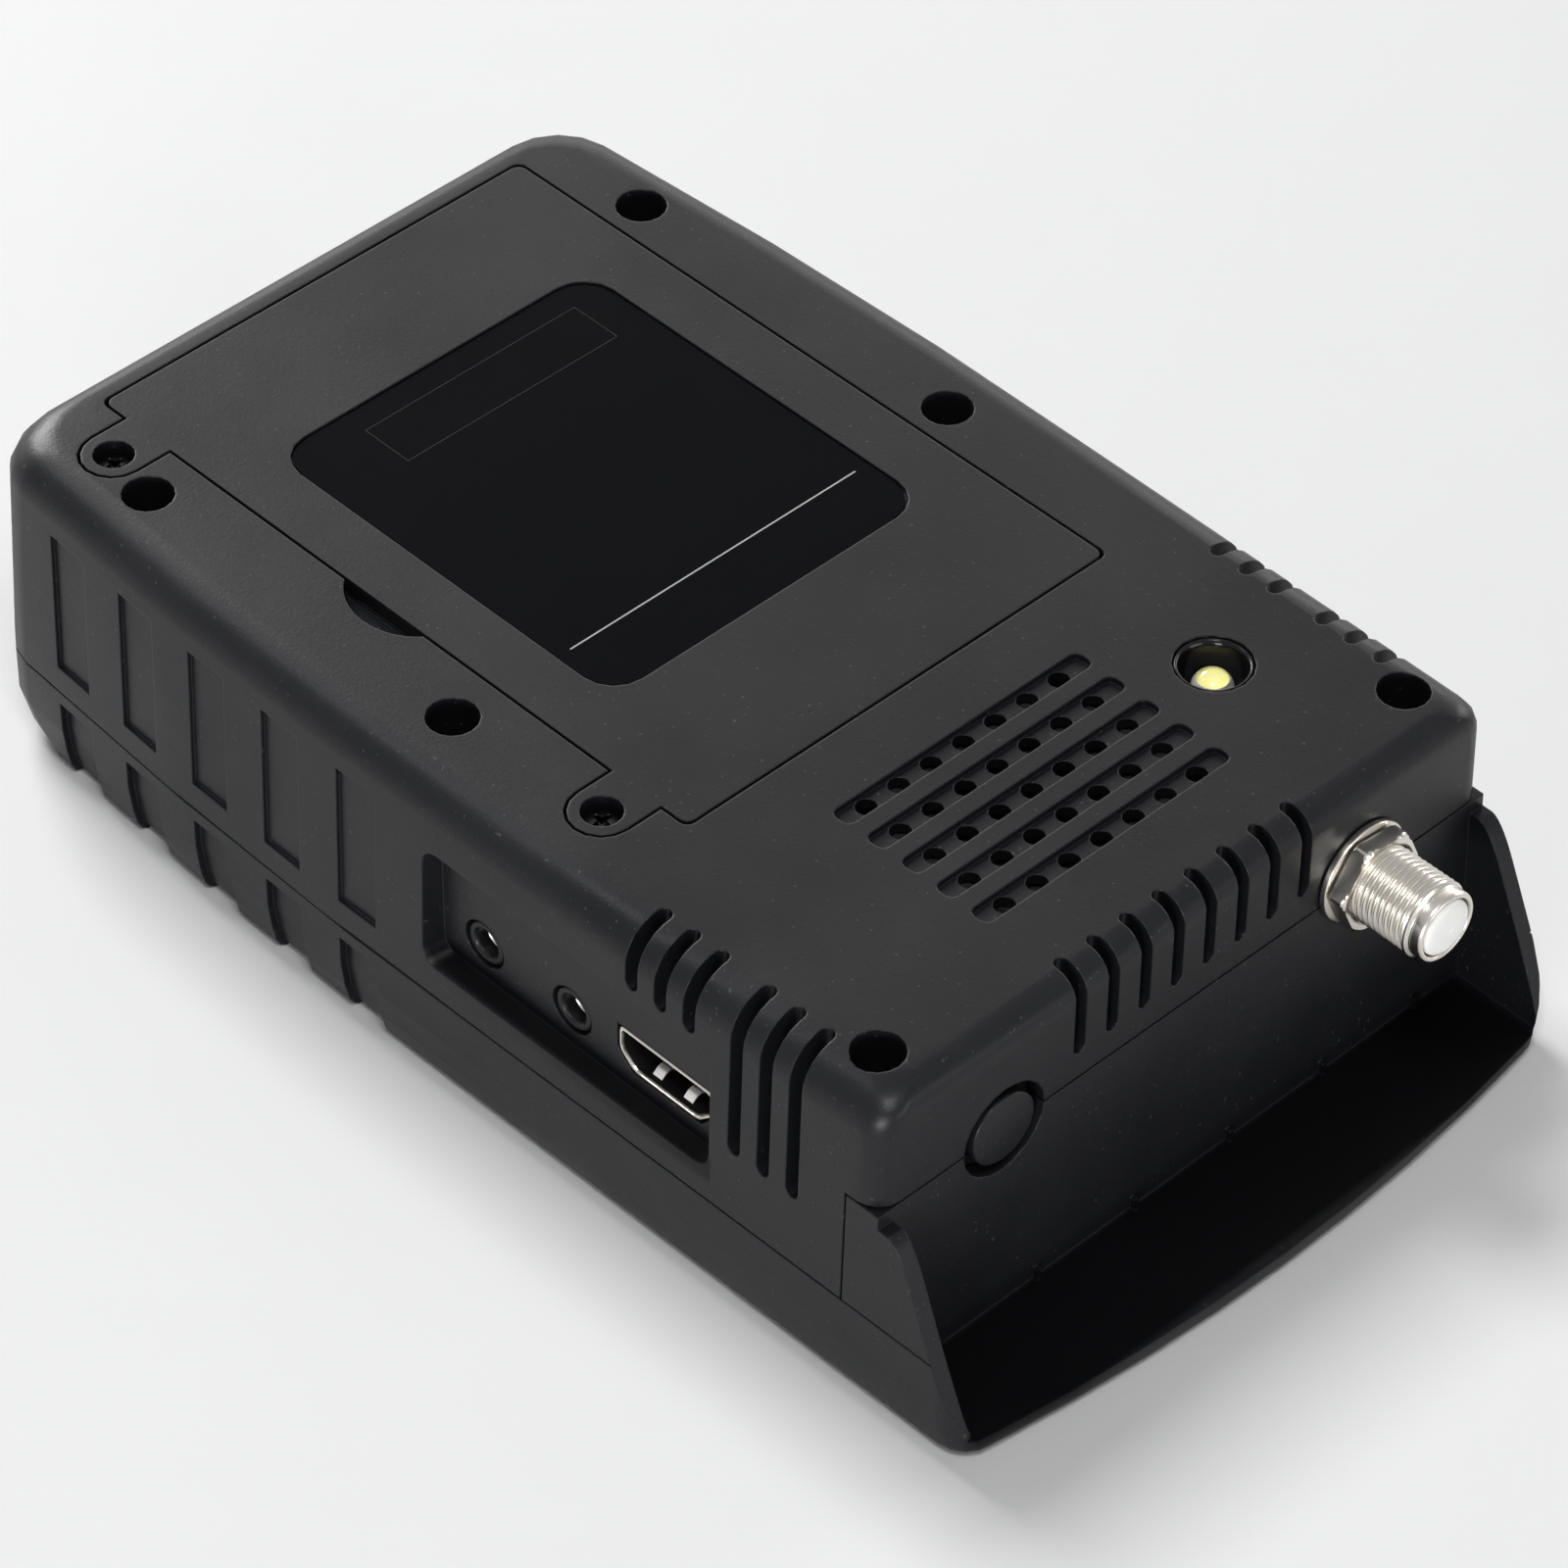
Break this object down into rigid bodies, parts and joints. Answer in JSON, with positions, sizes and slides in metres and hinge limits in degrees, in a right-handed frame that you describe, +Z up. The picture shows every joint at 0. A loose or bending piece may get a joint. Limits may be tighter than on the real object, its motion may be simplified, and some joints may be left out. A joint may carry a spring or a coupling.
{
  "type": "satellite signal meter",
  "caption": "Hand-held satellite signal meter lying face down: battery door, speaker grille, torch, vents, side sockets, keypad, and a hood round a threaded coaxial connector.",
  "frame": {"origin": "middle of the bounding box's footprint, on the plane of the front face that the meter lies on", "axes": "+X towards the connector end, +Y towards the side without the pocket of sockets, +Z up out of the back"},
  "size_m": [0.1656, 0.097, 0.0445],
  "materials": {
    "case_black": "fine spark texture, satin black",
    "socket_black": "smooth moulded black",
    "label_black": "smooth black film",
    "screw_steel": "black zinc",
    "cell_sleeve": "shrink sleeve over a metal can",
    "contact_tin": "tin plate",
    "speaker_frame": "dark pressed steel, paper cone",
    "reflector_black": "polished black",
    "led_clear": "clear epoxy over yellow phosphor",
    "nickel": "bright nickel plate",
    "white_insulator": "milky white",
    "tongue_black": "black with bright contacts",
    "board_green": "solder mask",
    "display_glass": "dark panel",
    "lens_clear": "clear over a black border",
    "key_rubber": "soft matt",
    "light_pipe": "translucent"
  },
  "bodies": {
    "case": {"rear_shell": "case_black", "front_shell": "case_black", "blank_plug": "case_black", "av_jack_1": "socket_black", "av_jack_2": "socket_black", "dc_jack": "socket_black", "battery_cradle": "socket_black", "case_screw_1": "screw_steel", "case_screw_2": "screw_steel", "case_screw_3": "screw_steel", "case_screw_4": "screw_steel", "case_screw_5": "screw_steel", "case_screw_6": "screw_steel", "battery_cell_1": "cell_sleeve", "battery_cell_2": "cell_sleeve", "battery_contact_1": "contact_tin", "battery_contact_2": "contact_tin", "usb_shell": "contact_tin", "tuner_can": "contact_tin", "speaker": "speaker_frame", "torch_reflector": "reflector_black", "torch_led": "led_clear", "connector_barrel": "nickel", "connector_washer": "nickel", "connector_nut": "nickel", "hdmi_shell": "nickel", "connector_insulator": "white_insulator", "usb_tongue": "white_insulator", "hdmi_tongue": "tongue_black", "main_board": "board_green", "front_board": "board_green", "lcd_panel": "display_glass", "screen_lens": "lens_clear", "key_mat": "key_rubber", "indicator_1": "light_pipe", "indicator_2": "light_pipe"},
    "door": {"battery_door": "case_black", "door_label": "label_black", "door_screw_1": "screw_steel", "door_screw_2": "screw_steel"},
    "key_01_body": {"key_01": "key_rubber"},
    "key_02_body": {"key_02": "key_rubber"},
    "key_03_body": {"key_03": "key_rubber"},
    "key_04_body": {"key_04": "key_rubber"},
    "key_05_body": {"key_05": "key_rubber"},
    "key_06_body": {"key_06": "key_rubber"},
    "key_07_body": {"key_07": "key_rubber"},
    "key_08_body": {"key_08": "key_rubber"},
    "key_09_body": {"key_09": "key_rubber"},
    "key_10_body": {"key_10": "key_rubber"},
    "key_11_body": {"key_11": "key_rubber"},
    "key_12_body": {"key_12": "key_rubber"},
    "key_13_body": {"key_13": "key_rubber"},
    "key_14_body": {"key_14": "key_rubber"},
    "key_15_body": {"key_15": "key_rubber"},
    "key_16_body": {"key_16": "key_rubber"}
  },
  "joints": [
    {"name": "door_tilt", "type": "hinge", "parent": "case", "child": "door", "pos_m": [-0.0277, 0.0328, 0.0445], "axis": [-1, 0, 0], "range_deg": [0, 70]},
    {"name": "key_01_press", "type": "slide", "parent": "case", "child": "key_01_body", "axis": [0, 0, 1], "range_m": [0, 0.0008], "stiffness_N_per_m": 1200},
    {"name": "key_02_press", "type": "slide", "parent": "case", "child": "key_02_body", "axis": [0, 0, 1], "range_m": [0, 0.0008], "stiffness_N_per_m": 1200},
    {"name": "key_03_press", "type": "slide", "parent": "case", "child": "key_03_body", "axis": [0, 0, 1], "range_m": [0, 0.0008], "stiffness_N_per_m": 1200},
    {"name": "key_04_press", "type": "slide", "parent": "case", "child": "key_04_body", "axis": [0, 0, 1], "range_m": [0, 0.0008], "stiffness_N_per_m": 1200},
    {"name": "key_05_press", "type": "slide", "parent": "case", "child": "key_05_body", "axis": [0, 0, 1], "range_m": [0, 0.0008], "stiffness_N_per_m": 1200},
    {"name": "key_06_press", "type": "slide", "parent": "case", "child": "key_06_body", "axis": [0, 0, 1], "range_m": [0, 0.0008], "stiffness_N_per_m": 1200},
    {"name": "key_07_press", "type": "slide", "parent": "case", "child": "key_07_body", "axis": [0, 0, 1], "range_m": [0, 0.0008], "stiffness_N_per_m": 1200},
    {"name": "key_08_press", "type": "slide", "parent": "case", "child": "key_08_body", "axis": [0, 0, 1], "range_m": [0, 0.0008], "stiffness_N_per_m": 1200},
    {"name": "key_09_press", "type": "slide", "parent": "case", "child": "key_09_body", "axis": [0, 0, 1], "range_m": [0, 0.0008], "stiffness_N_per_m": 1200},
    {"name": "key_10_press", "type": "slide", "parent": "case", "child": "key_10_body", "axis": [0, 0, 1], "range_m": [0, 0.0008], "stiffness_N_per_m": 1200},
    {"name": "key_11_press", "type": "slide", "parent": "case", "child": "key_11_body", "axis": [0, 0, 1], "range_m": [0, 0.0008], "stiffness_N_per_m": 1200},
    {"name": "key_12_press", "type": "slide", "parent": "case", "child": "key_12_body", "axis": [0, 0, 1], "range_m": [0, 0.0008], "stiffness_N_per_m": 1200},
    {"name": "key_13_press", "type": "slide", "parent": "case", "child": "key_13_body", "axis": [0, 0, 1], "range_m": [0, 0.0008], "stiffness_N_per_m": 1200},
    {"name": "key_14_press", "type": "slide", "parent": "case", "child": "key_14_body", "axis": [0, 0, 1], "range_m": [0, 0.0008], "stiffness_N_per_m": 1200},
    {"name": "key_15_press", "type": "slide", "parent": "case", "child": "key_15_body", "axis": [0, 0, 1], "range_m": [0, 0.0008], "stiffness_N_per_m": 1200},
    {"name": "key_16_press", "type": "slide", "parent": "case", "child": "key_16_body", "axis": [0, 0, 1], "range_m": [0, 0.0008], "stiffness_N_per_m": 1200}
  ]
}
